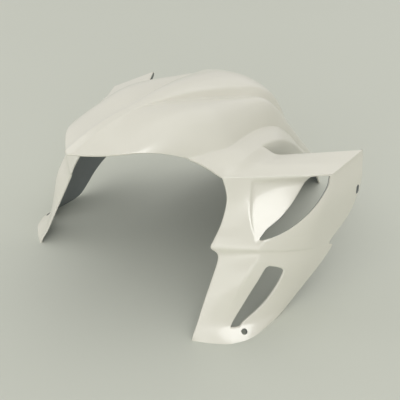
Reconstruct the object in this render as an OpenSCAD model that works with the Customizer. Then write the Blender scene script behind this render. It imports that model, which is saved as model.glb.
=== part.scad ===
// Front mudguard of a scooter, moulded as one thin shell.
// The nose points along -Y, the ground that it stands on is Z = 0, and X = 0 is its plane of symmetry.
// The crown and tail follow the wheel, so their sections are set out by angle about the wheel axle.

/* [Overall] */
// Width over both fork covers at their feet
wing_span = 308; // [292:1:328]
// Wall of the moulding
wall_t = 2.6; // [2:0.1:3.4]

/* [Wheel arch] */
// Radius of the crown line about the wheel axle
arch_r = 270; // [262:1:278]
// How far the wheel axle lies in front of the middle of the part
axle_ahead = 87; // [80:1:94]
// How far the wheel axle lies below the ground that the part stands on
axle_drop = 85; // [78:1:92]
// Angle of the nose tip about the axle, measured up from behind
nose_deg = 108.8; // [106:0.2:111]
// Angle at which the leading edge meets the fork covers
root_deg = 86.3; // [85:0.1:88]

/* [Crown] */
// Height of the raised blister on the crown, where it is highest
blister_rise = 16; // [8:1:20]
// Soft swell of the crown's shoulders between blister and side
shoulder_swell = 3; // [0:0.5:5]
// Depth of the skirt that hangs inside the fork leg
skirt_depth = 32; // [20:1:40]

/* [Fork leg notch] */
// Angle about the axle at which the notch starts
notch_deg = 70.6; // [69:0.1:72]
// How far the shoulder strip lies below the crown's ledge behind the notch
strip_dip = 11; // [6:0.5:14]

/* [Fork covers] */
// How far a fork cover bows out between its top fold and its foot
cover_bow = 8; // [0:0.5:9]

/* [Scoops] */
// Depth of the upper scoop's floor at its opening
scoop_depth = 8; // [4:0.5:10]
// Depth of the lower scoop's floor at its opening
lower_scoop_depth = 1.2; // [0.6:0.1:4]

/* [Fixing holes] */
// Diameter of the lower fixing hole
hole_d = 6; // [5:0.1:7]
// Width of the upper fixing slot
slot_w = 5; // [4:0.1:6]
// Length of the upper fixing slot
slot_l = 10; // [8:0.5:14]

/* [Hidden] */
half_span = wing_span / 2;
axle_y = -axle_ahead;
axle_z = -axle_drop;
// Sections of crown and tail, tail first. Each row holds the angle, then the height of the middle line,
// the half width and height of the crease beside the blister, those of the valley at the foot of the
// crown's side, and those of the ledge's outer edge. Heights are measured from the crown line.
SECTIONS = [
    [ 17, 4.4,   46, 3.6,    49.2, 2,      50, 0.6],
    [ 27, 1.4,   46, -1,     54.5, -6.5,   56.5, -8],
    [ 34, 0.5,   46, -5.4,   59.5, -13.5,  63.5, -15.5],
    [ 41, 1.4,   45.5, -8.6, 63.5, -20,    69.5, -23],
    [ 47, 6,     45.5, -7.6, 64, -20.5,    73, -26],
    [ 52, 17,    45, -4,     62.5, -17.5,  76.5, -26],
    [ 57, 23,    43.5, 2,    61, -16,      79, -26],
    [ 62, 21,    39.5, 5.5,  61.5, -19,    80.5, -27],
    [ 68, 15,    30.5, 0,    64, -24.5,    83, -30.5],
    [ 74, 10,    23, -2.8,   68.5, -29.5,  86.5, -34.5],
    [ 80, 6,     16, -3.4,   72, -33,      89.5, -40],
    [ 86, 2.3,   10, -2.3,   66.5, -34,    89, -49],
    [ 91, 0.3,   5, -0.9,    61, -34,      88, -50],
    [ 96, 0,     5, -0.5,    56.5, -34.5,  87, -50],
    [101, 0,     5, -0.5,    52.5, -35.5,  86, -50],
    [112, -2,    5, -2.2,    48, -37,      86, -50]];

// Skirt depth along the tail, as a share of skirt_depth, by angle about the axle
SKIRT = [[17, 0.03], [27, 0.2], [34, 0.45], [41, 0.75], [50, 1], [62, 1], [75, 1]];

// Guide rails of a fork cover, top to bottom. Each row holds the front edge, the corner and the rear edge,
// with X as an inset from the half span, and how much of the front leg the corner's rounding takes.
// The first front point is left out here, because the crown's edge gives it.
RAILS = [
    [[58, -74, 117],      [4, 5, 107],        [6.5, 81, 103],     0.12],
    [[56, -83.5, 97],     [4, -14, 84.5],     [6, 81.5, 78],      0.3],
    [[55.5, -94.5, 84.5], [4, -25, 70.5],     [5.5, 66.5, 51.5],  0.38],
    [[55.5, -100, 76.5],  [4, -32.5, 60.5],   [4.5, 29, 36],      0.42],
    [[49, -96.5, 68.5],   [4.3, -30, 55.5],   [4, 35, 28],        0.45],
    [[47, -107.5, 50.5],  [3.5, -44, 42],     [3, 8.5, 17],       0.5],
    [[45, -121, 31],      [3, -60, 28],       [2, -19.5, 10],     0.52],
    [[43, -132, 14],      [2, -83, 12],       [0.8, -43, 4.5],    0.55],
    [[41.8, -139.5, 5.5], [1.5, -104, 4.5],   [0.2, -57, 1.5],    0.6],
    [[41.5, -141.5, 0],   [1, -119, 0],       [0, -71, 0],        0.65]];
// Which way a fork cover bows: out, forwards and up
BOW = [1, -1.9, 1.6];
// Places on the rails between which the bow grows, and between which it fades
BOW_GROWS = [0, 2.2];
BOW_FADES = [5.6, 8.6];
// Outermost corner on top of a fork cover, and the rear end of its top edge
TOP_CORNER = [half_span - 4, 16, 123];
TOP_REAR = [half_span - 7, 78, 122.3];

// Lines of the upper scoop in the plane of the front panel, lowest point first: along the top fold, and
// up from it. Its floor starts at the step and ends at the mouth, and the opening ends at the rim.
STEP = [[34, -57], [31, -48], [28.5, -35], [28, -21], [28, -2]];
MOUTH = [[39, -58.5], [46, -50], [57, -42], [69, -30], [79, -15], [86.5, -2.5]];
RIM = [[41.5, -60.5], [46, -59.5], [58, -56], [72.5, -50], [85.5, -41], [95.5, -32], [103, -20.5],
    [107.5, -11], [108, -3]];
// The same lines of the lower scoop, in the plane of the lower panel
LOWER_STEP = [[4, -68], [12, -47.5], [26, -24.5], [34, -10]];
LOWER_MOUTH = [[9.5, -68], [26.5, -47.5], [44.5, -24.5], [54, -10]];
LOWER_RIM = [[21, -64.5], [36, -56], [51.5, -45], [62.5, -33], [69, -22], [69.5, -18.5], [68.5, -14]];
// Where each opening starts and ends, as a place on the rails
SCOOP_ENDS = [0.18, 3.12];
LOWER_ENDS = [5.6, 8.42];
// How much lower the rim side of the lower opening starts
rim_skew = 0.2;

// Where the fixing holes sit, and how the lower one is turned to stand square to the wall
HOLE_AT = [half_span - 10, -103.8, 3.8];
HOLE_TURN = [0, 38, -25];
SLOT_AT = [half_span + 0.5, 60, 87.5];

// Value of a table at x, on a smooth curve through its rows, whose first column ascends
function seg(t, x, i = 0) = (i >= len(t) - 2 || x < t[i + 1][0]) ? i : seg(t, x, i + 1);
function slope(t, i) =
    let (a = max(i - 1, 0), b = min(i + 1, len(t) - 1))
    (t[b] - t[a]) / (t[b][0] - t[a][0]);
function at(t, x) =
    let (i = seg(t, x), h = t[i + 1][0] - t[i][0], s = (x - t[i][0]) / h, s2 = s * s, s3 = s2 * s)
    (2 * s3 - 3 * s2 + 1) * t[i] + (s3 - 2 * s2 + s) * h * slope(t, i)
    + (3 * s2 - 2 * s3) * t[i + 1] + (s3 - s2) * h * slope(t, i + 1);
function mix(a, b, k) = a + (b - a) * k;
function clamp01(x) = min(1, max(0, x));
function smooth(x) = let (k = clamp01(x)) k * k * (3 - 2 * k);
function unit(v) = v / norm(v);

// Shares of the half section's points that the blister and the crown's side take
s_crease = 0.26;
s_valley = 0.78;
// Height of the blister's middle line in SECTIONS, and the height from which a row counts as blister
plain_rise = 16;
rise_from = 4.5;
// Share of the blister's half width at which its top ends and its flank falls to the crease
flank_from = 0.86;

// How the crown's side falls from crease to valley: full and round over the wheel, and like a pitched roof
// towards the nose
function roof(deg) = smooth((deg - 84) / 14);
function fall(k, deg) = mix(pow(k, 4), 0.3 * pow(k, 0.8) + 0.7 * pow(k, 8), roof(deg));
// Half width and height of the section at an angle, for s from 0 in the middle to 1 at the ledge's edge
function section(deg, s) =
    let (w = at(SECTIONS, deg), crest = w[1] * (w[1] > rise_from ? blister_rise / plain_rise : 1))
    s <= s_crease ?
        let (k = s / s_crease)
        [w[2] * k, w[3] + (crest - w[3]) * (1 - k * k / 2)
            * (1 - smooth((k - flank_from) / (1 - flank_from)))]
    : s <= s_valley ?
        let (k = sin(90 * (s - s_crease) / (s_valley - s_crease)))
        [mix(w[2], w[4], k), mix(w[3], w[5], fall(k, deg))
            + shoulder_swell * sin(180 * k) * smooth((deg - 50) / 20) * (1 - roof(deg))]
    :
        let (k = (s - s_valley) / (1 - s_valley))
        [mix(w[4], w[6], k), w[5] + (w[7] - w[5]) * pow(k, 1.4)];

function on_arch(x, r, deg) = [x, axle_y + r * cos(deg), axle_z + r * sin(deg)];
function skin(deg, s) =
    let (p = section(deg, abs(s)))
    on_arch(sign(s) * p[0], arch_r + p[1], deg);

// Angle of the leading edge: it sweeps back from the nose to the valley, gently in the middle and fast at
// the side, then runs on to the fork cover
valley_deg = root_deg + 3.8;
edge_row = at(SECTIONS, valley_deg + 6);
function lead_deg(s) =
    let (x = section(valley_deg + 6, min(s, s_valley))[0] / edge_row[4])
    s <= s_valley ? nose_deg - (nose_deg - valley_deg) * (0.455 * pow(x, 1.1) + 0.545 * pow(x, 7))
    : mix(valley_deg, root_deg, (s - s_valley) / (1 - s_valley));

// Angle at which a surface of that height over the crown line reaches the ground
function ground_deg(h) = asin(axle_drop / (arch_r + h));

// Cells of the grids: across half the crown, and along it in front of and behind the notch
cols = 14;
front = 8;
back = 13;
last = front + back;
tail_deg = SECTIONS[0][0] + 1;
function row_deg(s, j) =
    j <= front ? mix(lead_deg(s), notch_deg, j / front)
    : let (end = ground_deg(section(tail_deg, s)[1])) mix(notch_deg, end, (j - front) / back);
crown_grid = [for (i = [0:cols]) [for (j = [0:last]) skin(row_deg(i / cols, j), i / cols)]];
top_front = skin(root_deg, 1);

// Shoulder strip: u runs outwards from the crown's edge, v rearwards from the top fold
function strip(u, v) =
    let (inner = skin(mix(root_deg, notch_deg, v), 1), outer = mix(TOP_CORNER, TOP_REAR, v))
    mix(inner, outer, u) - [0, 0, strip_dip * v * smooth(u / 0.16) * (1 - u)];

// Skirt: it rolls over from the ledge's edge and hangs towards the axle
ROLL = [0, 0.35, 1];
roll_out = 1;
skirt_grid = [for (k = ROLL) [for (j = [front:last])
    let (d = row_deg(1, j), p = section(d, 1), drop = skirt_depth * at(SKIRT, d)[1] * k,
        down = j == last ? ground_deg(p[1] - drop) : d)
    on_arch(p[0] + (k > 0 ? roll_out : 0), arch_r + p[1] - drop, down)]];

// Fork cover: u runs from its front edge round the corner to its rear edge, v down its rails
function rail_row(i) =
    i == 0 ? [top_front, TOP_CORNER, TOP_REAR, 0.03]
    : let (r = RAILS[i - 1])
    [for (k = [0:3]) k == 3 ? r[3] : [half_span - r[k][0], r[k][1], r[k][2]]];
rails = [for (k = [0:3]) [for (i = [0:len(RAILS)]) [i, rail_row(i)[k]]]];
function rail(k, v) =
    let (n = len(rails[k]), i = min(floor(v), n - 2), s = v - i,
        p = rails[k], a = p[max(i - 1, 0)][1], b = p[i][1], c = p[i + 1][1], d = p[min(i + 2, n - 1)][1])
    0.5 * (2 * b + (c - a) * s + (2 * a - 5 * b + 4 * c - d) * s * s
        + (3 * b - 3 * c + d - a) * s * s * s);
u_bend = 0.62;
u_flat = 0.78;
function step(ends, v) = smooth((v - ends[0]) / (ends[1] - ends[0]));
function bow(u, v) = cover_bow * min(1, u / u_bend) * step(BOW_GROWS, v) * (1 - step(BOW_FADES, v));
function cover(u, v) = straight_cover(u, v) + bow(u, v) * BOW;
function straight_cover(u, v) =
    let (f = rail(0, v), c = rail(1, v), r = rail(2, v), k = rail(3, v),
        bend = k * norm(c - f), a = mix(c, f, k), b = mix(c, r, min(0.85, bend / norm(r - c))))
    u <= u_bend ? mix(f, a, u / u_bend)
    : u <= u_flat ?
        let (s = (u - u_bend) / (u_flat - u_bend))
        (1 - s) * (1 - s) * a + 2 * s * (1 - s) * c + s * s * b
    : mix(b, r, (u - u_flat) / (1 - u_flat));

// Planes of the front panels, each with its origin, its axis along the fold, its axis up and its normal
function panel(o, along, down) =
    let (e = unit(along), n0 = unit(cross(e, down)), n = n0[0] < 0 ? -n0 : n0)
    [o, e, cross(n, e), n];
upper_panel = panel(top_front, TOP_CORNER - top_front, rail(0, 4) - top_front);
lower_panel = panel(rail(0, 5), TOP_CORNER - top_front, rail(0, 10) - rail(0, 5));
function in_panel(f, p) = [(p - f[0]) * f[1], (p - f[0]) * f[2]];

// Where a line given by points stands at a height q
function line_at(line, q, i = 0) =
    (i >= len(line) - 2 || q < line[i + 1][1]) ?
        mix(line[i][0], line[i + 1][0], clamp01((q - line[i][1]) / (line[i + 1][1] - line[i][1])))
    : line_at(line, q, i + 1);
// Place across a fork cover where one of those lines crosses the row v, found by halving
function cross_at(f, line, v, lo = 0, hi = u_flat, n = 14) =
    let (m = (lo + hi) / 2, p = in_panel(f, straight_cover(m, v)))
    n == 0 ? m
    : p[0] > line_at(line, p[1]) ? cross_at(f, line, v, lo, m, n - 1)
    : cross_at(f, line, v, m, hi, n - 1);
// The lines of the upper scoop run on into those of the lower one between the two
function line_u(k, v) =
    let (w = smooth((v - SCOOP_ENDS[1]) / (LOWER_ENDS[0] - SCOOP_ENDS[1] - 0.2)),
        a = w < 1 ? cross_at(upper_panel, [STEP, MOUTH, RIM][k], v) : 0,
        b = w > 0 ? cross_at(lower_panel, [LOWER_STEP, LOWER_MOUTH, LOWER_RIM][k], v) : 0)
    mix(a, b, w);
// Depth of the scoop floor at the mouth. It fades out towards the lower tip.
function mouth_depth(v) =
    v < SCOOP_ENDS[0] ? 0
    : v <= SCOOP_ENDS[1] ? scoop_depth * mix(0.25, 1, smooth((SCOOP_ENDS[1] - v) / 1.5))
    : v < LOWER_ENDS[0] || v > LOWER_ENDS[1] ? 0
    : lower_scoop_depth * smooth((LOWER_ENDS[1] - v) / 1.5);

// Rows of a fork cover, which meet the ends of both scoops
top_land = 0.07;
top_slope = 0.3;
ROWS = [0, SCOOP_ENDS[0] - top_land, SCOOP_ENDS[0] + top_slope, 0.9, 1.3, 1.7, 2.1, 2.5, 2.8, SCOOP_ENDS[1],
    3.4, 3.8, 4.2, 4.6, 5, 5.3, LOWER_ENDS[0], 6, 6.5, 7, 7.5, 8, LOWER_ENDS[1], 8.7, 9.1, 9.5, 10];
// Columns: the land in front of the step, the floor, the corner beyond the rim, and the side
LAND = [0, 0.35, 0.7, 1];
FLOOR = [0, 0.5, 1];
CORNER = [0, 0.15, 0.3, 0.45, 0.6, 0.8, 1];
SIDE = [0.16, 0.33, 0.5, 0.67, 0.84, 1];
step_w = 0.012;
mouth_col = len(LAND) + len(FLOOR) - 1;
cover_cols = len(LAND) + len(FLOOR) + len(CORNER) + len(SIDE);
// The column that runs down the outermost corner
corner_col = cover_cols - 1 - front;
// Columns of the top fold, as shares of its length
fold_len = norm(TOP_CORNER - top_front);
function fold_u(c) =
    let (us = line_at(STEP, 0) / fold_len, um = line_at(MOUTH, 0) / fold_len, ur = line_at(RIM, 0) / fold_len)
    c < len(LAND) ? us * LAND[c]
    : c <= mouth_col ? mix(us + step_w, um, FLOOR[c - len(LAND)])
    : mix(ur, 1, (c - mouth_col - 1) / (corner_col - mouth_col - 1));
shoulder_grid = [for (a = [0:corner_col]) [for (j = [0:front]) strip(fold_u(a), j / front)]];

function cover_row(v) =
    let (w = v + rim_skew * smooth(1 - abs(v - LOWER_ENDS[0]) / 0.7),
        us = line_u(0, v), um = line_u(1, v), ur = line_u(2, w))
    concat(
        [for (k = LAND) cover(us * k, v)],
        [for (k = FLOOR) cover(mix(us + step_w, um, k), v)],
        [for (k = CORNER) cover(mix(ur, u_flat, k), mix(w, v, k))],
        [for (k = SIDE) cover(mix(u_flat, 1, k), v)]);
fold_row = concat(
    [for (a = [0:corner_col]) shoulder_grid[a][0]],
    [for (j = [1:front]) shoulder_grid[corner_col][j]]);
cover_grid = [for (v = ROWS) v > 0 ? cover_row(v) : fold_row];
// How deep each point of a fork cover lies below its plain surface
function depth_at(r, c) =
    let (k = c - len(LAND), v = ROWS[r], foot = v < LOWER_ENDS[0] ? 0.2 : 0)
    k < 0 || c > mouth_col ? 0 : mouth_depth(v) * mix(foot, 1, FLOOR[k]);
// Cells of a fork cover that its openings leave out
function open_cell(r, c) =
    c == mouth_col && ((ROWS[r] > SCOOP_ENDS[0] && ROWS[r] < SCOOP_ENDS[1])
        || (ROWS[r] >= LOWER_ENDS[0] && ROWS[r] < LOWER_ENDS[1]));

// Normals of a grid, and the direction to the wall's inner corner where two surfaces meet
function normals(g) =
    let (m = len(g) - 1, n = len(g[0]) - 1)
    [for (i = [0:m]) [for (j = [0:n])
        unit(cross(g[min(i + 1, m)][j] - g[max(i - 1, 0)][j], g[i][min(j + 1, n)] - g[i][max(j - 1, 0)]))]];
function mitre(a, b) = (a + b) / (1 + a * b);
crown_n = normals(crown_grid);
shoulder_n = normals(shoulder_grid);
skirt_n = normals(skirt_grid);
cover_n = normals(cover_grid);
function crown_in(i, j) =
    let (n = crown_n[i][j])
    i == 0 ? unit([0, n[1], n[2]])
    : i < cols ? n
    : j == 0 ? mitre(unit(n + shoulder_n[0][0]), cover_n[0][0])
    : j < front ? mitre(n, shoulder_n[0][j])
    : j == front ? mitre(n, unit(shoulder_n[0][front] + skirt_n[0][0]))
    : mitre(n, skirt_n[0][j - front]);
function shoulder_in(a, j) =
    let (n = shoulder_n[a][j])
    j == 0 ? mitre(n, cover_n[0][a]) : a == corner_col ? mitre(n, cover_n[0][corner_col + j]) : n;

// Points of one half, each with its way in and its depth. Border points belong to the grid named first.
half_skin = concat(
    [for (i = [0:cols]) for (j = [0:last]) [crown_grid[i][j], crown_in(i, j), 0]],
    [for (a = [1:corner_col]) for (j = [0:front]) [shoulder_grid[a][j], shoulder_in(a, j), 0]],
    [for (b = [1:len(ROLL) - 1]) for (j = [0:back]) [skirt_grid[b][j], skirt_n[b][j], 0]],
    [for (r = [1:len(ROWS) - 1]) for (c = [0:cover_cols - 1])
        [cover_grid[r][c], cover_n[r][c], depth_at(r, c)]]);
half_count = len(half_skin);
shoulder_start = (cols + 1) * (last + 1);
skirt_start = shoulder_start + corner_col * (front + 1);
cover_start = skirt_start + (len(ROLL) - 1) * (back + 1);
function crown_id(i, j) = i * (last + 1) + j;
function shoulder_id(a, j) = a == 0 ? crown_id(cols, j) : shoulder_start + (a - 1) * (front + 1) + j;
function skirt_id(b, j) = b == 0 ? crown_id(cols, front + j) : skirt_start + (b - 1) * (back + 1) + j;
function cover_id(r, c) =
    r > 0 ? cover_start + (r - 1) * cover_cols + c
    : c <= corner_col ? shoulder_id(c, 0) : shoulder_id(corner_col, c - corner_col);

// The skin's cells, each as its four corners in order
cells = concat(
    [for (i = [0:cols - 1]) for (j = [0:last - 1])
        [crown_id(i, j), crown_id(i, j + 1), crown_id(i + 1, j + 1), crown_id(i + 1, j)]],
    [for (a = [0:corner_col - 1]) for (j = [0:front - 1])
        [shoulder_id(a, j), shoulder_id(a, j + 1), shoulder_id(a + 1, j + 1), shoulder_id(a + 1, j)]],
    [for (b = [0:len(ROLL) - 2]) for (j = [0:back - 1])
        [skirt_id(b, j), skirt_id(b, j + 1), skirt_id(b + 1, j + 1), skirt_id(b + 1, j)]],
    [for (r = [0:len(ROWS) - 2]) for (c = [0:cover_cols - 2]) if (!open_cell(r, c))
        [cover_id(r, c), cover_id(r, c + 1), cover_id(r + 1, c + 1), cover_id(r + 1, c)]]);
// The skin's free edges, each as the run of its points: all the way round, from the tail to the nose
outline = concat(
    [for (i = [0:cols]) crown_id(i, last)],
    [for (b = [1:len(ROLL) - 1]) skirt_id(b, back)],
    [for (j = [back - 1:-1:0]) skirt_id(len(ROLL) - 1, j)],
    [for (b = [len(ROLL) - 2:-1:0]) skirt_id(b, 0)],
    [for (a = [1:corner_col]) shoulder_id(a, front)],
    [for (r = [1:len(ROWS) - 1]) cover_id(r, cover_cols - 1)],
    [for (c = [cover_cols - 2:-1:0]) cover_id(len(ROWS) - 1, c)],
    [for (r = [len(ROWS) - 2:-1:0]) cover_id(r, 0)],
    [for (i = [cols - 1:-1:0]) crown_id(i, 0)]);
// Edges of the cells next to an opening
vent_edges = [for (r = [1:len(ROWS) - 2]) if (open_cell(r, mouth_col)) each [
    [cover_id(r, mouth_col), cover_id(r + 1, mouth_col)],
    [cover_id(r + 1, mouth_col + 1), cover_id(r, mouth_col + 1)],
    if (!open_cell(r - 1, mouth_col)) [cover_id(r, mouth_col + 1), cover_id(r, mouth_col)],
    if (!open_cell(r + 1, mouth_col)) [cover_id(r + 1, mouth_col), cover_id(r + 1, mouth_col + 1)]]];
free_edges = concat([for (i = [0:len(outline) - 2]) [outline[i], outline[i + 1]]], vent_edges);

// The wall's inner side follows the skin, and ends level with it where the part stands
level = 0.001;
function outer_point(q) = let (p = q[0] - q[1] * q[2]) [p[0], p[1], p[2] < level ? 0 : p[2]];
function inner_point(q) =
    let (p = q[0] - q[1] * (q[2] + wall_t)) [p[0], p[1], q[0][2] < level || p[2] < level ? 0 : p[2]];
module moulding() {
    right = concat([for (q = half_skin) outer_point(q)], [for (q = half_skin) inner_point(q)]);
    n = half_count;
    // Points of the middle line belong to both halves
    function twin(k) = k % n <= last ? k : k + 2 * n;
    quads = concat(
        cells,
        [for (q = cells) [q[3] + n, q[2] + n, q[1] + n, q[0] + n]],
        [for (e = free_edges) [e[0], e[0] + n, e[1] + n, e[1]]]);
    both = concat(quads, [for (q = quads) [twin(q[3]), twin(q[2]), twin(q[1]), twin(q[0])]]);
    polyhedron(concat(right, [for (p = right) [-p[0], p[1], p[2]]]),
        [for (q = both) each [[q[0], q[1], q[2]], [q[0], q[2], q[3]]]]);
}

// Fixing holes of one side: a round one low in front, and a slot high at the back
cut_l = 30;
module fixings() {
    translate(HOLE_AT) rotate(HOLE_TURN) cylinder(d = hole_d, h = cut_l, center = true, $fn = 48);
    for (z = [-1, 1])
        translate(SLOT_AT + [0, 0, z * (slot_l - slot_w) / 2]) rotate([0, 90, 0])
            cylinder(d = slot_w, h = cut_l, center = true, $fn = 48);
    translate(SLOT_AT) cube([cut_l, slot_w, slot_l - slot_w], center = true);
}

module mudguard() {
    color("floralwhite") difference() {
        moulding();
        fixings();
        mirror([1, 0, 0]) fixings();
    }
}

mudguard();
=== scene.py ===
"""Front mudguard of a scooter: one moulded shell, painted outside and bare inside."""

import logging
import math
from dataclasses import dataclass, field
from enum import Enum
from typing import Callable, Sequence, TypeVar, Union

import bpy
from mathutils import Matrix, Vector

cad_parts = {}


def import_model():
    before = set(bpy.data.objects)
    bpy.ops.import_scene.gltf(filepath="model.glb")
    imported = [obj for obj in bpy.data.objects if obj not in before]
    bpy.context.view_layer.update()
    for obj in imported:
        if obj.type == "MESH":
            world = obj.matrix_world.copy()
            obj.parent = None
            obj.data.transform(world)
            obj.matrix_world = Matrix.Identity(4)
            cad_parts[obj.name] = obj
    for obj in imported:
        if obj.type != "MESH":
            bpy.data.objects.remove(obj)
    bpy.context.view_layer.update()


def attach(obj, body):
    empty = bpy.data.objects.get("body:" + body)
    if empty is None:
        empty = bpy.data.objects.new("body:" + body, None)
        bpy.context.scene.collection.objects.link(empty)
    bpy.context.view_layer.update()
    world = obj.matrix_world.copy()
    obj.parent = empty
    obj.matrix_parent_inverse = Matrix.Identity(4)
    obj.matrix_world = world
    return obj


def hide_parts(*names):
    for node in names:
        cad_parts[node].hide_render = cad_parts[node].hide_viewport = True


LOG = logging.getLogger("mudguard")
MM = 0.001
NODE = "mudguard"
# Points lower than this many millimetres stand on the ground
ON_GROUND = 0.01
# Shares of the crown's half section at which its crease and its valley lie
CREASE = 0.26
VALLEY = 0.78

Grid = list[list[Vector]]
Row = Sequence[float]
Line = Sequence[tuple[float, float]]
Number = Union[int, float]
Value = TypeVar("Value", float, Vector)


def clamp01(x: float) -> float:
    """Return x held between 0 and 1."""
    return min(1.0, max(0.0, x))


def smooth(x: float) -> float:
    """Return a soft step of x from 0 to 1."""
    k = clamp01(x)
    return k * k * (3 - 2 * k)


def mix(a: float, b: float, k: float) -> float:
    """Return the number that lies k of the way from a to b."""
    return a + (b - a) * k


def lookup(table: Sequence[Row], x: float) -> list[float]:
    """Read a table at x, on a smooth curve through its rows.

    Args:
        table: Rows whose first column ascends.
        x: Where to read it.

    Returns:
        One value for each column.
    """
    last = len(table) - 1
    i = 0
    while i < last - 1 and x >= table[i + 1][0]:
        i += 1
    width = table[i + 1][0] - table[i][0]
    s = (x - table[i][0]) / width

    def slope(n: int) -> list[float]:
        """Return the slope of each column at row n."""
        low, high = table[max(n - 1, 0)], table[min(n + 1, last)]
        return [(b - a) / (high[0] - low[0]) for a, b in zip(low, high)]

    weights = (
        2 * s**3 - 3 * s**2 + 1,
        (s**3 - 2 * s**2 + s) * width,
        3 * s**2 - 2 * s**3,
        (s**3 - s**2) * width,
    )
    columns = zip(table[i], slope(i), table[i + 1], slope(i + 1))
    return [sum(w * c for w, c in zip(weights, column)) for column in columns]


def curve_at(values: Sequence[Value], v: float) -> Value:
    """Return the value at the place v on a smooth curve through evenly spaced values."""
    last = len(values) - 1
    i = min(int(v), last - 1)
    a, b, c, d = (values[min(max(i + n, 0), last)] for n in (-1, 0, 1, 2))
    s = v - i
    return 0.5 * (2 * b + (c - a) * s + (2 * a - 5 * b + 4 * c - d) * s**2 + (3 * b - 3 * c + d - a) * s**3)


def spans(*parts: tuple[float, float, int]) -> list[float]:
    """Return the places of a run of cells.

    Args:
        *parts: Start, end and number of cells of each stretch, in order.

    Returns:
        Every place from the first start to the last end, each once.
    """
    places = [start + (end - start) * n / count for start, end, count in parts for n in range(count)]
    return places + [parts[-1][1]]


def line_at(line: Line, q: float) -> float:
    """Return where a line given by points stands at the height q."""
    i = 0
    while i < len(line) - 2 and q >= line[i + 1][1]:
        i += 1
    (p0, q0), (p1, q1) = line[i], line[i + 1]
    return mix(p0, p1, clamp01((q - q0) / (q1 - q0)))


def grid_normals(grid: Grid) -> Grid:
    """Return the outward normal at each point of a grid."""
    rows, cols = len(grid) - 1, len(grid[0]) - 1

    def normal(i: int, j: int) -> Vector:
        """Return the normal at one point."""
        along = grid[min(i + 1, rows)][j] - grid[max(i - 1, 0)][j]
        across = grid[i][min(j + 1, cols)] - grid[i][max(j - 1, 0)]
        return along.cross(across).normalized()

    return [[normal(i, j) for j in range(cols + 1)] for i in range(rows + 1)]


def mitre(a: Vector, b: Vector) -> Vector:
    """Return the way to the wall's inner corner between two surfaces with the normals a and b."""
    return (a + b) / (1 + a.dot(b))


def new_mesh(name: str, points: Sequence[Sequence[float]], faces: Sequence[Sequence[int]]) -> bpy.types.Mesh:
    """Make a mesh from points in metres and faces."""
    mesh = bpy.data.meshes.new(name)
    mesh.from_pydata(points, [], faces)
    return mesh


def new_object(name: str, data: bpy.types.ID) -> bpy.types.Object:
    """Add an object to the scene."""
    made = bpy.data.objects.new(name, data)
    bpy.context.scene.collection.objects.link(made)
    return made


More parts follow.
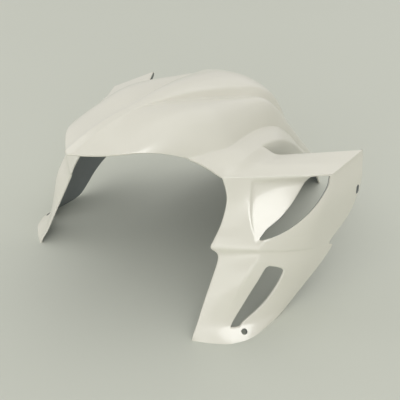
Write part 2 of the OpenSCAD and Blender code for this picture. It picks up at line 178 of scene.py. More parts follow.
@dataclass(frozen=True)
class Arch:
    """The crown and tail follow the wheel. Sizes are in millimetres, and angles in degrees about the axle.

    Each row of sections holds the angle, the height of the middle line, then half width and height of the
    crease beside the blister, of the valley at the foot of the crown's side, and of the ledge's outer edge.
    The crown's side is full and round over the wheel, and falls like a pitched roof towards the nose.
    """

    radius: float = 270
    axle_y: float = -87
    axle_z: float = -85
    swell: float = 3
    swell_from: float = 50
    swell_over: float = 20
    roof_from: float = 84
    roof_over: float = 14
    dome_until: float = 0.86
    full_power: float = 4
    roof_powers: tuple[float, float] = (0.8, 8)
    roof_share: float = 0.3
    ledge_power: float = 1.4
    sections: tuple[Row, ...] = (
        (17, 4.4, 46, 3.6, 49.2, 2, 50, 0.6),
        (27, 1.4, 46, -1, 54.5, -6.5, 56.5, -8),
        (34, 0.5, 46, -5.4, 59.5, -13.5, 63.5, -15.5),
        (41, 1.4, 45.5, -8.6, 63.5, -20, 69.5, -23),
        (47, 6, 45.5, -7.6, 64, -20.5, 73, -26),
        (52, 17, 45, -4, 62.5, -17.5, 76.5, -26),
        (57, 23, 43.5, 2, 61, -16, 79, -26),
        (62, 21, 39.5, 5.5, 61.5, -19, 80.5, -27),
        (68, 15, 30.5, 0, 64, -24.5, 83, -30.5),
        (74, 10, 23, -2.8, 68.5, -29.5, 86.5, -34.5),
        (80, 6, 16, -3.4, 72, -33, 89.5, -40),
        (86, 2.3, 10, -2.3, 66.5, -34, 89, -49),
        (91, 0.3, 5, -0.9, 61, -34, 88, -50),
        (96, 0, 5, -0.5, 56.5, -34.5, 87, -50),
        (101, 0, 5, -0.5, 52.5, -35.5, 86, -50),
        (112, -2, 5, -2.2, 48, -37, 86, -50),
    )

    def section(self, deg: float, s: float) -> tuple[float, float]:
        """Return the half width and height of the section.

        Args:
            deg: Angle of the section about the axle.
            s: Share of the half section, from 0 in the middle to 1 at the ledge's edge.

        Returns:
            Half width and height over the crown line.
        """
        _, crest, crease_x, crease_h, valley_x, valley_h, edge_x, edge_h = lookup(self.sections, deg)
        if s <= CREASE:
            k = s / CREASE
            dome = (1 - k * k / 2) * (1 - smooth((k - self.dome_until) / (1 - self.dome_until)))
            return crease_x * k, crease_h + (crest - crease_h) * dome
        if s <= VALLEY:
            way = (s - CREASE) / (VALLEY - CREASE)
            k = math.sin(math.pi / 2 * way)
            roof = smooth((deg - self.roof_from) / self.roof_over)
            early, late = self.roof_powers
            fall = mix(k**self.full_power, mix(k**late, k**early, self.roof_share), roof)
            swelling = smooth((deg - self.swell_from) / self.swell_over) * (1 - roof)
            swell = self.swell * math.sin(math.pi * k) * swelling
            return mix(crease_x, valley_x, k), mix(crease_h, valley_h, fall) + swell
        k = (s - VALLEY) / (1 - VALLEY)
        return mix(valley_x, edge_x, k), valley_h + (edge_h - valley_h) * k**self.ledge_power

    def place(self, x: float, height: float, deg: float) -> Vector:
        """Return the point at a half width, a height over the crown line and an angle."""
        turn = math.radians(deg)
        out = self.radius + height
        return Vector((x, self.axle_y + out * math.cos(turn), self.axle_z + out * math.sin(turn)))

    def skin(self, deg: float, s: float) -> Vector:
        """Return the point of the outer skin at an angle and a share of the half section."""
        x, height = self.section(deg, s)
        return self.place(x, height, deg)

    def ground_deg(self, height: float) -> float:
        """Return the angle at which a surface of that height reaches the ground."""
        return math.degrees(math.asin(-self.axle_z / (self.radius + height)))


@dataclass(frozen=True)
class Crown:
    """The crown over the wheel and the tail behind it, from the leading edge to the ground."""

    arch: Arch = field(default_factory=Arch)
    nose_deg: float = 108.8
    root_deg: float = 86.3
    notch_deg: float = 70.6
    tail_deg: float = 18
    valley_ahead: float = 3.8
    reach_ahead: float = 6
    sweep_share: float = 0.455
    sweep_powers: tuple[float, float] = (1.1, 7)
    shares: tuple[float, ...] = tuple(
        [mix(0, CREASE, k) for k in (0, 0.16, 0.32, 0.48, 0.62, 0.74, 0.83, 0.89, 0.94)]
        + [mix(CREASE, VALLEY, k) for k in spans((0, 0.06, 2), (0.06, 0.94, 10), (0.94, 1, 1))[:-1]]
        + [mix(VALLEY, 1, k) for k in (0, 0.14, 0.32, 0.52, 0.72, 0.9, 1)]
    )
    front: tuple[float, ...] = tuple(spans((0, 0.01, 1), (0.01, 0.06, 2), (0.06, 1, 21)))
    back: tuple[float, ...] = tuple(spans((0, 0.99, 46), (0.99, 1, 1)))

    def lead_deg(self, s: float) -> float:
        """Return the angle of the leading edge, which sweeps back from the nose to the valley."""
        valley_deg = self.root_deg + self.valley_ahead
        if s > VALLEY:
            return mix(valley_deg, self.root_deg, (s - VALLEY) / (1 - VALLEY))
        reach = self.arch.section(valley_deg + self.reach_ahead, VALLEY)[0]
        x = self.arch.section(valley_deg + self.reach_ahead, s)[0] / reach
        gentle, fast = self.sweep_powers
        return mix(self.nose_deg, valley_deg, mix(x**fast, x**gentle, self.sweep_share))

    def degrees(self, s: float) -> list[float]:
        """Return the angles of a column's points, from the leading edge to the ground."""
        end = self.arch.ground_deg(self.arch.section(self.tail_deg, s)[1])
        ahead = [mix(self.lead_deg(s), self.notch_deg, k) for k in self.front]
        return ahead + [mix(self.notch_deg, end, k) for k in self.back[1:]]

    def grid(self) -> Grid:
        """Return the outer skin's points, a column for each share of the half section."""
        return [[self.arch.skin(deg, s) for deg in self.degrees(s)] for s in self.shares]


@dataclass(frozen=True)
class Skirt:
    """The lip that hangs from the ledge, inside the fork leg."""

    crown: Crown
    depth: float = 32
    roll_out: float = 1
    rolled_at: float = 0.35
    roll: tuple[float, ...] = (0, 0.12, 0.35, 0.94, 1)
    shares: tuple[Row, ...] = ((17, 0.03), (27, 0.2), (34, 0.45), (41, 0.75), (50, 1), (62, 1), (75, 1))

    def grid(self) -> Grid:
        """Return the outer skin's points, a row for each depth."""
        arch = self.crown.arch
        angles = self.crown.degrees(1.0)[len(self.crown.front) - 1 :]
        rows: Grid = []
        for k in self.roll:
            row = []
            for n, deg in enumerate(angles):
                x, height = arch.section(deg, 1.0)
                drop = self.depth * lookup(self.shares, deg)[1] * k
                at_end = n == len(angles) - 1
                down = arch.ground_deg(height - drop) if at_end else deg
                out = self.roll_out * smooth(k / self.rolled_at)
                row.append(arch.place(x + out, height - drop, down))
            rows.append(row)
        return rows


@dataclass(frozen=True)
class Panel:
    """A plane laid on a front panel, with one axis along the fold and one up from it."""

    origin: Vector
    along: Vector
    up: Vector

    @classmethod
    def through(cls, origin: Vector, along: Vector, down: Vector) -> "Panel":
        """Return the plane that holds a point and two directions."""
        axis = along.normalized()
        normal = axis.cross(down).normalized()
        normal = -normal if normal.x < 0 else normal
        return cls(origin, axis, normal.cross(axis))

    def flat(self, point: Vector) -> tuple[float, float]:
        """Return a point's place in the plane."""
        away = point - self.origin
        return away.dot(self.along), away.dot(self.up)


@dataclass(frozen=True)
class Scoop:
    """An air scoop: a floor that sinks from the step to the mouth, and an opening out to the rim.

    The lines are given in the plane of their panel, lowest point first. start and end are places on the
    rails.
    """

    step: Line
    mouth: Line
    rim: Line
    start: float
    end: float
    depth: float
    foot: float
    slope: float
    fade: float = 1.5
    run_out: float = 0.3

    def mouth_depth(self, v: float) -> float:
        """Return how deep the floor lies at the mouth."""
        tip = mix(self.foot, 1, smooth((self.end - v) / self.fade))
        sinks = smooth((v - self.start) / self.slope)
        return self.depth * sinks * tip * (1 - smooth((v - self.end) / self.run_out))


UPPER_SCOOP = Scoop(
    step=((34, -57), (31, -48), (28.5, -35), (28, -21), (28, -2)),
    mouth=((39, -58.5), (46, -50), (57, -42), (69, -30), (79, -15), (86.5, -2.5)),
    rim=(
        (41.5, -60.5),
        (46, -59.5),
        (58, -56),
        (72.5, -50),
        (85.5, -41),
        (95.5, -32),
        (103, -20.5),
        (107.5, -11),
        (108, -3),
    ),
    start=0.15,
    end=3.12,
    depth=8,
    foot=0.2,
    slope=0.33,
)
LOWER_SCOOP = Scoop(
    step=((4, -68), (12, -47.5), (26, -24.5), (34, -10)),
    mouth=((9.5, -68), (26.5, -47.5), (44.5, -24.5), (54, -10)),
    rim=((21, -64.5), (36, -56), (51.5, -45), (62.5, -33), (69, -22), (69.5, -18.5), (68.5, -14)),
    start=5.42,
    end=8.42,
    depth=1.2,
    foot=0,
    slope=0.2,
)


@dataclass
class ForkCover:
    """The cover in front of and beside a fork leg, with two scoops, under a shoulder strip.

    Each row of rails holds the front edge, the corner and the rear edge, with X as an inset from the half
    span. rounding says how much of the front leg the corner's rounding takes at each row. Between its top
    and its foot the cover bows out, forwards and up.
    """

    crown: Crown
    half_span: float = 154
    top_corner: tuple[float, float, float] = (4, 16, 123)
    top_rear: tuple[float, float, float] = (7, 78, 122.3)
    strip_dip: float = 11
    dip_within: float = 0.16
    bend: float = 0.62
    flat: float = 0.78
    longest_bend: float = 0.85
    step_width: float = 0.012
    rim_skew: float = 0.2
    skew_reach: float = 0.7
    bow: float = 8
    bow_way: tuple[float, float, float] = (1, -1.9, 1.6)
    bow_grows: tuple[float, float] = (0, 2.2)
    bow_fades: tuple[float, float] = (5.6, 8.6)
    lower_top: float = 5.6
    hand_over_gap: float = 0.2
    halvings: int = 16
    settled_at: float = 0.8
    upper_panel_end: int = 4
    lower_panel_ends: tuple[int, int] = (5, 10)
    rails: tuple[tuple[tuple[float, float, float], ...], ...] = (
        ((58, -74, 117), (4, 5, 107), (6.5, 81, 103)),
        ((56, -83.5, 97), (4, -14, 84.5), (6, 81.5, 78)),
        ((55.5, -94.5, 84.5), (4, -25, 70.5), (5.5, 66.5, 51.5)),
        ((55.5, -100, 76.5), (4, -32.5, 60.5), (4.5, 29, 36)),
        ((49, -96.5, 68.5), (4.3, -30, 55.5), (4, 35, 28)),
        ((47, -107.5, 50.5), (3.5, -44, 42), (3, 8.5, 17)),
        ((45, -121, 31), (3, -60, 28), (2, -19.5, 10)),
        ((43, -132, 14), (2, -83, 12), (0.8, -43, 4.5)),
        ((41.8, -139.5, 5.5), (1.5, -104, 4.5), (0.2, -57, 1.5)),
        ((41.5, -141.5, 0), (1, -119, 0), (0, -71, 0)),
    )
    rounding: tuple[float, ...] = (0.03, 0.12, 0.3, 0.38, 0.42, 0.45, 0.5, 0.52, 0.55, 0.6, 0.65)
    land: tuple[float, ...] = (0, 0.05, 0.25, 0.5, 0.75, 0.93, 1)
    floor: tuple[float, ...] = (0, 0.08, 0.25, 0.45, 0.65, 0.82, 0.95, 1)
    around: tuple[float, ...] = tuple(spans((0, 0.04, 1), (0.04, 1, 19)))
    side: tuple[float, ...] = tuple(spans((0, 0.97, 15), (0.97, 1, 1))[1:])
    places: tuple[float, ...] = tuple(
        spans(
            (0, 0.15, 3),
            (0.15, 0.5, 4),
            (0.5, 2.7, 9),
            (2.7, 3.12, 4),
            (3.12, 3.6, 3),
            (3.6, 5.0, 6),
            (5.0, 5.4, 2),
            (5.4, 5.6, 2),
            (5.6, 6, 2),
            (6, 8, 7),
            (8, 8.42, 3),
            (8.42, 9.93, 5),
            (9.93, 10, 1),
        )
    )

    def __post_init__(self) -> None:
        """Work out the rails' points, the two panels and the numbering of the columns."""
        top_front = self.crown.arch.skin(self.crown.root_deg, 1.0)
        rows = [[self.inset(place) for place in row] for row in self.rails]
        rows.insert(0, [top_front, self.inset(self.top_corner), self.inset(self.top_rear)])
        self.curves: list[list[Vector]] = [[row[k] for row in rows] for k in range(3)]
        self.fold: Vector = self.curves[1][0] - top_front
        start, end = (self.rail(0, v) for v in self.lower_panel_ends)
        upper_end = self.rail(0, self.upper_panel_end)
        self.upper: Panel = Panel.through(top_front, self.fold, upper_end - top_front)
        self.lower: Panel = Panel.through(start, self.fold, end - start)
        self.mouth_col: int = len(self.land) + len(self.floor) - 1
        self.columns: int = len(self.land) + len(self.floor) + len(self.around) + len(self.side)
        self.corner_col: int = self.columns - len(self.crown.front)

    def inset(self, place: tuple[float, float, float]) -> Vector:
        """Return the point of a place whose X is an inset from the half span."""
        return Vector((self.half_span - place[0], place[1], place[2]))

    def rail(self, k: int, v: float) -> Vector:
        """Return the point at the place v on rail k."""
        return curve_at(self.curves[k], v)

    def strip(self, u: float, v: float) -> Vector:
        """Return a point of the shoulder strip: u outwards from the crown, v rearwards from the fold."""
        inner = self.crown.arch.skin(mix(self.crown.root_deg, self.crown.notch_deg, v), 1.0)
        outer = self.curves[1][0].lerp(self.curves[2][0], v)
        sag = self.strip_dip * v * smooth(u / self.dip_within) * (1 - u)
        return inner.lerp(outer, u) - Vector((0, 0, sag))

    def cover(self, u: float, v: float) -> Vector:
        """Return a point of the cover: u from its front edge round the corner, v down its rails."""
        grown, faded = (smooth((v - a) / (b - a)) for a, b in (self.bow_grows, self.bow_fades))
        out = self.bow * min(1, u / self.bend) * grown * (1 - faded)
        return self.straight_cover(u, v) + Vector(self.bow_way) * out

    def straight_cover(self, u: float, v: float) -> Vector:
        """Return the point of the cover before it bows out."""
        front, corner, rear = (self.rail(k, v) for k in range(3))
        share = curve_at(self.rounding, v)
        start = corner.lerp(front, share)
        same_length = share * (corner - front).length / (rear - corner).length
        end = corner.lerp(rear, min(self.longest_bend, same_length))
        if u <= self.bend:
            return front.lerp(start, u / self.bend)
        if u <= self.flat:
            s = (u - self.bend) / (self.flat - self.bend)
            return start * (1 - s) ** 2 + corner * 2 * s * (1 - s) + end * s**2
        return end.lerp(rear, (u - self.flat) / (1 - self.flat))

    def crossing(self, panel: Panel, line: Line, v: float) -> float:
        """Find by halving where a line of a panel crosses the row at v.

        Args:
            panel: Plane that the line is drawn in.
            line: Its points.
            v: Place of the row on the rails.

        Returns:
            The place u across the cover.
        """
        low, high = 0.0, self.flat
        for _ in range(self.halvings):
            middle = (low + high) / 2
            p, q = panel.flat(self.straight_cover(middle, v))
            if p > line_at(line, q):
                high = middle
            else:
                low = middle
        return (low + high) / 2

    def line_place(self, name: str, v: float) -> float:
        """Return where the scoops' line of that name crosses a row, running on from one to the other."""
        w = smooth((v - UPPER_SCOOP.end) / (self.lower_top - UPPER_SCOOP.end - self.hand_over_gap))
        high = self.crossing(self.upper, getattr(UPPER_SCOOP, name), v) if w < 1 else 0.0
        low = self.crossing(self.lower, getattr(LOWER_SCOOP, name), v) if w > 0 else 0.0
        return mix(high, low, w)

    def fold_shares(self) -> list[float]:
        """Return the places of the fold's columns, as shares of its length."""
        lines = (UPPER_SCOOP.step, UPPER_SCOOP.mouth, UPPER_SCOOP.rim)
        step, mouth, rim = (line_at(line, 0) / self.fold.length for line in lines)
        beyond = self.corner_col - self.mouth_col - 1
        return (
            [step * k for k in self.land]
            + [mix(step + self.step_width, mouth, k) for k in self.floor]
            + [mix(rim, 1, n / beyond) for n in range(beyond + 1)]
        )

    def strip_grid(self) -> Grid:
        """Return the shoulder strip's points, a column for each share of the fold."""
        return [[self.strip(u, v) for v in self.crown.front] for u in self.fold_shares()]

    def top_places(self) -> list[float]:
        """Return the places u that lie beyond the rim just under the strip's corner."""
        beyond = self.corner_col - self.mouth_col - 1
        middle = (self.bend + self.flat) / 2
        rim = self.line_place("rim", 0.0)
        ahead = [mix(rim, middle, n / beyond) for n in range(beyond + 1)]
        return ahead + [mix(self.flat, 1, k) for k in self.crown.front[1:]]

    def row(self, v: float) -> list[Vector]:
        """Return the points of the row at v, which meet the scoops' lines."""
        skewed = v + self.rim_skew * smooth(1 - abs(v - self.lower_top) / self.skew_reach)
        step, mouth = (self.line_place(name, v) for name in ("step", "mouth"))
        rim = self.line_place("rim", skewed)
        lands = [self.cover(step * k, v) for k in self.land]
        floors = [self.cover(mix(step + self.step_width, mouth, k), v) for k in self.floor]
        even = [(mix(rim, self.flat, k), mix(skewed, v, k)) for k in self.around]
        even += [(mix(self.flat, 1, k), v) for k in self.side]
        settle = smooth(v / self.settled_at)
        rest = [self.cover(mix(top, u, settle), w) for top, (u, w) in zip(self.top_places(), even)]
        return lands + floors + rest

    def grid(self) -> Grid:
        """Return the plain cover's points, a row for each place on the rails."""
        strip = self.strip_grid()
        top = [column[0] for column in strip] + strip[-1][1:]
        return [top] + [self.row(v) for v in self.places[1:]]

    def depth(self, r: int, c: int) -> float:
        """Return how deep a point of the cover lies below its plain surface."""
        k = c - len(self.land)
        if k < 0 or c > self.mouth_col:
            return 0.0
        v = self.places[r]
        scoop = UPPER_SCOOP if v < (UPPER_SCOOP.end + self.lower_top) / 2 else LOWER_SCOOP
        return scoop.mouth_depth(v) * mix(scoop.foot, 1, self.floor[k])

    def is_open(self, r: int, c: int) -> bool:
        """Say whether an opening leaves out the cell behind row r and column c."""
        v = (self.places[r] + self.places[r + 1]) / 2
        ranges = ((UPPER_SCOOP.start, UPPER_SCOOP.end), (self.lower_top, LOWER_SCOOP.end))
        return c == self.mouth_col and any(start < v < end for start, end in ranges)


class Operation(Enum):
    """The sums that shader maths uses, by the name of their node's operation."""

    ADD = "ADD"
    SUBTRACT = "SUBTRACT"
    MULTIPLY = "MULTIPLY"
    POWER = "POWER"


class Wave:
    """One value inside a material: wraps a socket, so that shader maths reads as plain expressions."""

    def __init__(self, graph: "Graph", socket: bpy.types.NodeSocket) -> None:
        """Keep the socket and the graph that it belongs to."""
        self.graph = graph
        self.socket = socket

    def _math(self, operation: Operation, first: "Term", second: "Term") -> "Wave":
        """Add a Math node on two terms."""
        return self.graph.node("ShaderNodeMath", {"operation": operation.value}, {0: first, 1: second})

    def __add__(self, other: "Term") -> "Wave":
        """Return self + other."""
        return self._math(Operation.ADD, self, other)

    def __radd__(self, other: "Term") -> "Wave":
        """Return other + self."""
        return self._math(Operation.ADD, other, self)

    def __sub__(self, other: "Term") -> "Wave":
        """Return self - other."""
        return self._math(Operation.SUBTRACT, self, other)

    def __rsub__(self, other: "Term") -> "Wave":
        """Return other - self."""
        return self._math(Operation.SUBTRACT, other, self)

    def __mul__(self, other: "Term") -> "Wave":
        """Return self * other."""
        return self._math(Operation.MULTIPLY, self, other)

    def __rmul__(self, other: "Term") -> "Wave":
        """Return other * self."""
        return self._math(Operation.MULTIPLY, other, self)

    def __pow__(self, other: "Term") -> "Wave":
        """Return self ** other."""
        return self._math(Operation.POWER, self, other)

    def __rpow__(self, other: "Term") -> "Wave":
        """Return other ** self."""
        return self._math(Operation.POWER, other, self)


Term = Union[Wave, Number]


@dataclass(frozen=True)
class Grain:
    """Size of a noise: waves for each metre, number of finer octaves, and the stretch along each axis."""

    scale: float
    detail: float
    stretch: tuple[float, float, float] = (1, 1, 1)


class Graph:
    """The node tree of one material."""

    def __init__(self, name: str) -> None:
        """Make an empty material with an output."""
        self.material = bpy.data.materials.new(name)
        self.material.use_nodes = True
        self.tree = self.material.node_tree
        self.tree.nodes.clear()
        self.output = self.tree.nodes.new("ShaderNodeOutputMaterial")

    def node(
        self,
        kind: str,
        settings: dict[str, object] | None = None,
        sockets: dict[str | int, object] | None = None,
        output: str | int = 0,
    ) -> Wave:
        """Add a node.

        Args:
            kind: Blender's type of node.
            settings: Properties, which are set before the sockets.
            sockets: Values or links of its inputs, by name or number.
            output: Which of its outputs to hand back.

        Returns:
            The output, wrapped.
        """
        made = self.tree.nodes.new(kind)
        for key, value in (settings or {}).items():
            setattr(made, key, value)
        for key, value in (sockets or {}).items():
            if isinstance(value, Wave):
                self.tree.links.new(value.socket, made.inputs[key])
            else:
                made.inputs[key].default_value = value
        return Wave(self, made.outputs[output])

    def noise(self, grain: Grain) -> Wave:
        """Return noise from 0 to 1 over the object."""
        where = self.node("ShaderNodeTexCoord", output="Object")
        place = self.node("ShaderNodeMapping", {}, {"Vector": where, "Scale": grain.stretch})
        sockets = {"Vector": place, "Scale": grain.scale, "Detail": grain.detail}
        return self.node("ShaderNodeTexNoise", {}, sockets)

    def blend(self, factor: Term, first: object, second: object) -> Wave:
        """Mix two colours, given as links or as RGBA values."""
        settings = {"data_type": "RGBA", "blend_type": "MIX"}
        return self.node("ShaderNodeMix", settings, {0: factor, 6: first, 7: second}, output=2)

    def bump(self, height: Wave, strength: float, distance: float) -> Wave:
        """Return a normal that shows a height."""
        sockets = {"Height": height, "Strength": strength, "Distance": distance}
        return self.node("ShaderNodeBump", {}, sockets)

    def finish(self, sockets: dict[str | int, object]) -> bpy.types.Material:
        """Add the main shader and link it to the output."""
        shader = self.node("ShaderNodeBsdfPrincipled", {}, sockets)
        self.tree.links.new(shader.socket, self.output.inputs["Surface"])
        return self.material


def rgba(red: float, green: float, blue: float) -> tuple[float, float, float, float]:
    """Return an opaque colour from sRGB values of 0 to 255."""

    def linear(value: float) -> float:
        """Return the linear value of an sRGB one."""
        part = value / 255
        return part / 12.92 if part <= 0.04045 else ((part + 0.055) / 1.055) ** 2.4

    return linear(red), linear(green), linear(blue), 1.0


@dataclass(frozen=True)
class Paint:
    """Glossy off-white paint, with a faint orange peel and a thin film of dust."""

    colour: tuple[float, float, float, float] = rgba(228, 226, 214)
    shade: tuple[float, float, float, float] = rgba(222, 220, 207)
    cloud: Grain = Grain(7, 3)
    dust: Grain = Grain(60, 5)
    film: Grain = Grain(16, 4, (1, 1, 2.5))
    peel: Grain = Grain(420, 1)
    dust_share: float = 0.3
    roughness: float = 0.25
    film_roughness: float = 0.08
    dust_roughness: float = 0.06
    coat: float = 0.4
    coat_roughness: float = 0.1
    ior: float = 1.5
    peel_strength: float = 0.35
    peel_depth: float = 0.00006

    def material(self) -> bpy.types.Material:
        """Build the material."""
        graph = Graph("paint")
        cloud, dust, film, peel = (graph.noise(g) for g in (self.cloud, self.dust, self.film, self.peel))
        mottle = cloud * (1 - self.dust_share) + dust * self.dust_share
        return graph.finish(
            {
                "Base Color": graph.blend(mottle, self.colour, self.shade),
                "Roughness": self.roughness + film * self.film_roughness + dust * self.dust_roughness,
                "Normal": graph.bump(peel, self.peel_strength, self.peel_depth),
                "Coat Weight": self.coat,
                "Coat Roughness": self.coat_roughness,
                "IOR": self.ior,
            }
        )


@dataclass(frozen=True)
class BareMoulding:
    """The bare inner side of the moulding: slate grey, finely grained, with a mist of overspray."""

    colour: tuple[float, float, float, float] = rgba(116, 122, 123)
    light: tuple[float, float, float, float] = rgba(139, 143, 141)
    flow: Grain = Grain(9, 2, (1, 0.35, 0.35))
    mist: Grain = Grain(120, 6)
    grain: Grain = Grain(900, 3)
    mist_share: float = 0.4
    grain_share: float = 0.7
    contrast: float = 1.6
    roughness: float = 0.52
    grain_roughness: float = 0.12
    flow_gloss: float = 0.08
    grain_strength: float = 0.5
    grain_depth: float = 0.0001

    def material(self) -> bpy.types.Material:
        """Build the material."""
        graph = Graph("bare_moulding")
        flow, mist, grain = (graph.noise(g) for g in (self.flow, self.mist, self.grain))
        mottle = (flow * (1 - self.mist_share) + mist * self.mist_share) ** self.contrast
        relief = grain * self.grain_share + mist * (1 - self.grain_share)
        return graph.finish(
            {
                "Base Color": graph.blend(mottle, self.colour, self.light),
                "Roughness": self.roughness + grain * self.grain_roughness - flow * self.flow_gloss,
                "Normal": graph.bump(relief, self.grain_strength, self.grain_depth),
            }
        )


Finish = Union[Paint, BareMoulding]


class Skin:
    """Points and cells of one half of the outer skin, welded where its grids meet."""

    def __init__(self) -> None:
        """Start with nothing."""
        self.points: list[Vector] = []
        self.inward: list[Vector] = []
        self.sunk: list[float] = []
        self.cells: list[tuple[int, ...]] = []

    def add_point(self, point: Vector, inward: Vector, sunk: float = 0.0) -> int:
        """Add a point.

        Args:
            point: Where the plain surface lies.
            inward: Way out of the wall, long enough to keep its thickness at a mitre.
            sunk: How deep the point lies below the plain surface.

        Returns:
            The point's number.
        """
        self.points.append(point)
        self.inward.append(inward)
        self.sunk.append(sunk)
        return len(self.points) - 1

    def add_cells(self, ids: list[list[int]], skip: Callable[[int, int], bool] = lambda i, j: False) -> None:
        """Add the cells of a grid of point numbers, apart from those that skip names."""
        for i in range(len(ids) - 1):
            for j in range(len(ids[0]) - 1):
                if not skip(i, j):
                    self.cells.append((ids[i][j], ids[i][j + 1], ids[i + 1][j + 1], ids[i + 1][j]))


@dataclass(frozen=True)
class Pin:
    """A straight cutter with round ends: a round pin, or a key for a slot that stands upright."""

    centre: Vector
    axis: Vector
    radius: float
    straight: float
    reach: float = 9.0
    sides: int = 48

    def build(self) -> bpy.types.Object:
        """Make the cutter's mesh, in metres."""
        turn = self.axis.to_track_quat("Z", "Y").to_matrix() if self.straight == 0 else self.upright()
        outline = []
        for n in range(self.sides):
            angle = 2 * math.pi * (n + 0.5) / self.sides
            lift = math.copysign(self.straight / 2, math.sin(angle))
            outline.append((self.radius * math.cos(angle), self.radius * math.sin(angle) + lift))
        ends = (-self.reach, self.reach)
        points = [turn @ Vector((x, y, z)) + self.centre for z in ends for x, y in outline]
        n = self.sides
        faces = [tuple(reversed(range(n))), tuple(range(n, 2 * n))]
        faces += [(k, (k + 1) % n, n + (k + 1) % n, n + k) for k in range(n)]
        pin = new_object("pin", new_mesh("pin", [p * MM for p in points], faces))
        pin.hide_render = True
        return pin

    def upright(self) -> Matrix:
        """Return the turn that lays the cutter along its axis with its length upright."""
        up = Vector((0, 0, 1))
        side = up.cross(self.axis)
        return Matrix((side, up, self.axis)).transposed()


@dataclass(frozen=True)
class Fixings:
    """The fixing holes on the +X side: a round one in the cover's foot, and an upright slot."""

    hole_at: tuple[float, float, float] = (144, -103.8, 3.8)
    hole_way: tuple[float, float, float] = (0.558, -0.2602, 0.788)
    hole_radius: float = 3.0
    slot_at: tuple[float, float, float] = (154.5, 60, 87.5)
    slot_way: tuple[float, float, float] = (1, 0, 0)
    slot_radius: float = 2.5
    slot_straight: float = 5.0

    def pins(self) -> list[Pin]:
        """Return the cutters of both sides."""
        pins = []
        for side in (1, -1):
            mirror = Matrix.Diagonal((side, 1, 1))
            hole_at, hole_way, slot_at, slot_way = (
                mirror @ Vector(v) for v in (self.hole_at, self.hole_way, self.slot_at, self.slot_way)
            )
            pins.append(Pin(hole_at, hole_way, self.hole_radius, 0.0))
            pins.append(Pin(slot_at, slot_way, self.slot_radius, self.slot_straight))
        return pins


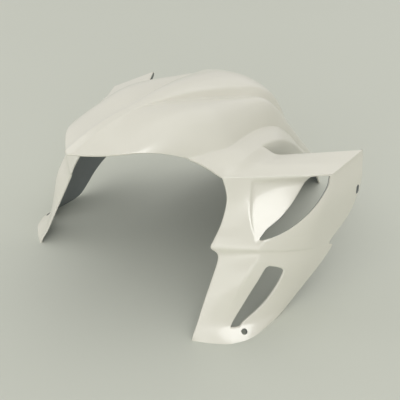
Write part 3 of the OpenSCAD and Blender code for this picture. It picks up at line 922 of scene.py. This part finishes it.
@dataclass
class Moulding:
    """The whole shell, made of a crown, two skirts, two shoulder strips and two fork covers.

    The first finish goes on its outer faces and rims, and the second on its inner faces.
    """

    finishes: tuple[Finish, ...]
    wall: float = 2.6
    sharp_deg: float = 50
    crown: Crown = field(default_factory=Crown)
    fixings: Fixings = field(default_factory=Fixings)

    def __post_init__(self) -> None:
        """Make the sub-assemblies that hang on the crown."""
        self.skirt = Skirt(self.crown)
        self.fork_cover = ForkCover(self.crown)

    def skin(self) -> tuple[Skin, set[int]]:
        """Lay out one half of the outer skin.

        Returns:
            The skin, and the numbers of its points on the middle line.
        """
        crown, strip, skirt, cover = (
            self.crown.grid(),
            self.fork_cover.strip_grid(),
            self.skirt.grid(),
            self.fork_cover.grid(),
        )
        crown_n, strip_n, skirt_n, cover_n = (grid_normals(g) for g in (crown, strip, skirt, cover))
        skin = Skin()
        front = len(self.crown.front) - 1
        edge = len(crown) - 1
        corner = self.fork_cover.corner_col

        def crown_in(i: int, j: int) -> Vector:
            """Return the crown's inward way, which at its edge takes in its neighbours."""
            normal = crown_n[i][j]
            if i == 0:
                return Vector((0, normal.y, normal.z)).normalized()
            if i < edge:
                return normal
            if j == 0:
                return mitre((normal + strip_n[0][0]).normalized(), cover_n[0][0])
            if j < front:
                return mitre(normal, strip_n[0][j])
            if j == front:
                return mitre(normal, (strip_n[0][front] + skirt_n[0][0]).normalized())
            return mitre(normal, skirt_n[0][j - front])

        def strip_in(a: int, j: int) -> Vector:
            """Return the strip's inward way, which at the fold takes in the cover."""
            if j == 0:
                return mitre(strip_n[a][0], cover_n[0][a])
            return mitre(strip_n[a][j], cover_n[0][corner + j]) if a == corner else strip_n[a][j]

        crown_ids = [
            [skin.add_point(p, crown_in(i, j)) for j, p in enumerate(column)]
            for i, column in enumerate(crown)
        ]
        strip_ids = [crown_ids[edge][: front + 1]] + [
            [skin.add_point(p, strip_in(a, j)) for j, p in enumerate(strip[a])] for a in range(1, corner + 1)
        ]
        skirt_ids = [crown_ids[edge][front:]] + [
            [skin.add_point(p, skirt_n[b][j]) for j, p in enumerate(skirt[b])] for b in range(1, len(skirt))
        ]
        top = [column[0] for column in strip_ids] + strip_ids[corner][1:]
        cover_ids = [top] + [
            [skin.add_point(p, cover_n[r][c], self.fork_cover.depth(r, c)) for c, p in enumerate(cover[r])]
            for r in range(1, len(cover))
        ]
        for ids in (crown_ids, strip_ids, skirt_ids):
            skin.add_cells(ids)
        skin.add_cells(cover_ids, self.fork_cover.is_open)
        return skin, set(crown_ids[0])

    def walls(self, cells: Sequence[tuple[int, ...]], middle: set[int]) -> list[tuple[int, int]]:
        """Return the skin's free edges, apart from those on the middle line."""
        seen = {(cell[n], cell[(n + 1) % 4]) for cell in cells for n in range(4)}
        return [(a, b) for a, b in sorted(seen) if (b, a) not in seen and not (a in middle and b in middle)]

    def build(self) -> bpy.types.Object:
        """Make the shell as one smooth mesh, with its fixing holes cut.

        Returns:
            The finished object, with the paint's faces in slot 0 and the bare ones in slot 1.
        """
        skin, middle = self.skin()
        count = len(skin.points)
        outer = [p - n * d for p, n, d in zip(skin.points, skin.inward, skin.sunk)]
        inner = [p - n * (d + self.wall) for p, n, d in zip(skin.points, skin.inward, skin.sunk)]
        grounded = {k for k, p in enumerate(skin.points) if p.z < ON_GROUND}
        for k, p in enumerate(inner):
            p.z = 0.0 if k in grounded else max(p.z, 0.0)
        for k in grounded:
            outer[k].z = 0.0
        half = outer + inner
        faces = [(tuple(reversed(cell)), 0) for cell in skin.cells]
        faces += [(tuple(k + count for k in cell), 1) for cell in skin.cells]
        faces += [((b, b + count, a + count, a), 0) for a, b in self.walls(skin.cells, middle)]

        def twin(k: int) -> int:
            """Return the number of a point's mirror image."""
            return k if k % count in middle else k + 2 * count

        faces += [(tuple(twin(k) for k in reversed(face)), slot) for face, slot in list(faces)]
        points = [p * MM for p in half] + [Vector((-p.x, p.y, p.z)) * MM for p in half]
        for k in middle:
            points[k].x = points[k + count].x = 0.0
        used = sorted({k for face, _ in faces for k in face})
        number = {k: n for n, k in enumerate(used)}
        corners = [tuple(number[k] for k in face) for face, _ in faces]
        mesh = new_mesh(NODE, [points[k] for k in used], corners)
        for finish in self.finishes:
            mesh.materials.append(finish.material())
        for polygon, (_, slot) in zip(mesh.polygons, faces):
            polygon.material_index = slot
        self.keep_feet_level(mesh)
        shell = new_object("mudguard_shell", mesh)
        self.smooth_out(shell)
        self.drill(shell)
        return shell

    def keep_feet_level(self, mesh: bpy.types.Mesh) -> None:
        """Keep the edges that stand on the ground where they are when the mesh is smoothed."""
        crease = mesh.attributes.new("crease_edge", "FLOAT", "EDGE")
        for edge in mesh.edges:
            low = all(mesh.vertices[v].co.z < ON_GROUND * MM for v in edge.vertices)
            crease.data[edge.index].value = 1.0 if low else 0.0

    def smooth_out(self, shell: bpy.types.Object) -> None:
        """Subdivide the mesh once, which rounds every fold, step and rim."""
        modifier = shell.modifiers.new("smooth", "SUBSURF")
        modifier.levels = modifier.render_levels = 1
        modifier.boundary_smooth = "PRESERVE_CORNERS"
        self.apply_modifiers(shell)

    def apply_modifiers(self, shell: bpy.types.Object) -> None:
        """Turn what an object's modifiers show into its own mesh."""
        shown = shell.evaluated_get(bpy.context.evaluated_depsgraph_get())
        mesh = bpy.data.meshes.new_from_object(shown)
        shell.modifiers.clear()
        shell.data = mesh

    def drill(self, shell: bpy.types.Object) -> None:
        """Cut the fixing holes, whose walls take the bare grey finish, partly as bare plastic and partly as
        painted shade, and mark the edges that stay sharp.
        """
        pins = [pin.build() for pin in self.fixings.pins()]
        for pin in pins:
            for material in shell.data.materials:
                pin.data.materials.append(material)
            # Dark bare grey on the cut walls: partly bare plastic, partly painted shade that darkens the
            # holes.
            for polygon in pin.data.polygons:
                polygon.material_index = len(self.finishes) - 1
            cut = shell.modifiers.new("cut", "BOOLEAN")
            cut.operation = "DIFFERENCE"
            cut.solver = "EXACT"
            cut.object = pin
        self.apply_modifiers(shell)
        for pin in pins:
            bpy.data.objects.remove(pin, do_unlink=True)
        shell.data.shade_smooth()
        shell.data.set_sharp_from_angle(angle=math.radians(self.sharp_deg))


@dataclass(frozen=True)
class Ground:
    """Plain pale floor."""

    colour: tuple[float, float, float, float] = rgba(205, 208, 197)
    cloud: Grain = Grain(2.5, 3)
    cloud_shade: float = 0.97
    roughness: float = 0.55
    half_size: float = 6.0

    def build(self) -> bpy.types.Object:
        """Make the floor."""
        graph = Graph("floor")
        cloud = graph.noise(self.cloud)
        shade = tuple(c * self.cloud_shade for c in self.colour[:3]) + (1.0,)
        tone = graph.blend(cloud, self.colour, shade)
        s = self.half_size
        mesh = new_mesh("floor", [(-s, -s, 0), (s, -s, 0), (s, s, 0), (-s, s, 0)], [(0, 1, 2, 3)])
        mesh.materials.append(graph.finish({"Base Color": tone, "Roughness": self.roughness}))
        floor = new_object("floor", mesh)
        return floor


@dataclass(frozen=True)
class Lamp:
    """A square soft light."""

    name: str
    place: tuple[float, float, float]
    size: float
    power: float
    aim: tuple[float, float, float] = (0.0, 0.0, 0.08)
    only_reflected: bool = False

    def build(self) -> bpy.types.Object:
        """Make the lamp, aimed at its target."""
        light = bpy.data.lights.new(self.name, "AREA")
        light.shape = "SQUARE"
        light.size = self.size
        light.energy = self.power
        lamp = new_object(self.name, light)
        lamp.location = self.place
        lamp.rotation_euler = (Vector(self.aim) - Vector(self.place)).to_track_quat("-Z", "Y").to_euler()
        lamp.visible_camera = False
        lamp.visible_diffuse = not self.only_reflected
        return lamp


@dataclass(frozen=True)
class Studio:
    """Floor, soft lights, pale surroundings and the camera."""

    camera_place: tuple[float, float, float] = (0.4153, -0.4750, 0.4576)
    camera_way: tuple[float, float, float] = (-0.5483, 0.6248, -0.5559)
    lens: float = 61.2
    sensor_width: float = 36.0
    clip_start: float = 0.01
    sky: tuple[float, float, float, float] = rgba(226, 225, 222)
    shown: tuple[float, float, float, float] = rgba(201, 201, 189)
    sky_strength: float = 0.83
    lamps: tuple[Lamp, ...] = (
        Lamp("left", (-1.8, -0.4, 1.3), 1.6, 6.9),
        Lamp("fill", (1.3, -1.5, 0.9), 1.4, 7.3),
        Lamp("front", (0.4, -2.0, 0.7), 1.2, 5.6),
        Lamp("back", (-0.3, 2.0, 1.0), 1.6, 1.9),
        Lamp("top", (0.2, 0.9, 1.9), 1.8, 6.5),
        Lamp("card", (1.14, -0.23, 1.19), 0.95, 18.0, aim=(0.13, -0.05, 0.1), only_reflected=True),
    )

    def build(self) -> None:
        """Set up everything around the object."""
        Ground().build()
        for lamp in self.lamps:
            lamp.build()
        self.build_sky()
        self.build_camera()
        bpy.context.scene.view_settings.view_transform = "Standard"

    def build_sky(self) -> None:
        """Light the object evenly, and show a pale colour where the camera sees past the floor."""
        world = bpy.data.worlds.new("sky")
        bpy.context.scene.world = world
        world.use_nodes = True
        tree = world.node_tree
        tree.nodes.clear()
        output = tree.nodes.new("ShaderNodeOutputWorld")
        path = tree.nodes.new("ShaderNodeLightPath")
        either = tree.nodes.new("ShaderNodeMixShader")
        tree.links.new(path.outputs["Is Camera Ray"], either.inputs["Fac"])
        for side, colour, strength in ((1, self.sky, self.sky_strength), (2, self.shown, 1.0)):
            background = tree.nodes.new("ShaderNodeBackground")
            background.inputs["Color"].default_value = colour
            background.inputs["Strength"].default_value = strength
            tree.links.new(background.outputs["Background"], either.inputs[side])
        tree.links.new(either.outputs["Shader"], output.inputs["Surface"])

    def build_camera(self) -> None:
        """Stand the camera where the photograph was taken from."""
        data = bpy.data.cameras.new("camera")
        data.lens = self.lens
        data.sensor_width = self.sensor_width
        data.sensor_fit = "HORIZONTAL"
        data.clip_start = self.clip_start
        camera = new_object("camera", data)
        camera.location = self.camera_place
        camera.rotation_euler = Vector(self.camera_way).to_track_quat("-Z", "Y").to_euler()
        bpy.context.scene.camera = camera


def main() -> None:
    """Build the studio and the mudguard, and log the shell's number of faces."""
    logging.basicConfig(level=logging.INFO, format="%(name)s: %(message)s")
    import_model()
    Studio().build()
    shell = Moulding((Paint(), BareMoulding())).build()
    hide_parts(NODE)
    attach(shell, "root")
    LOG.info("%s has %d faces", shell.name, len(shell.data.polygons))


if __name__ == "__main__":
    main()
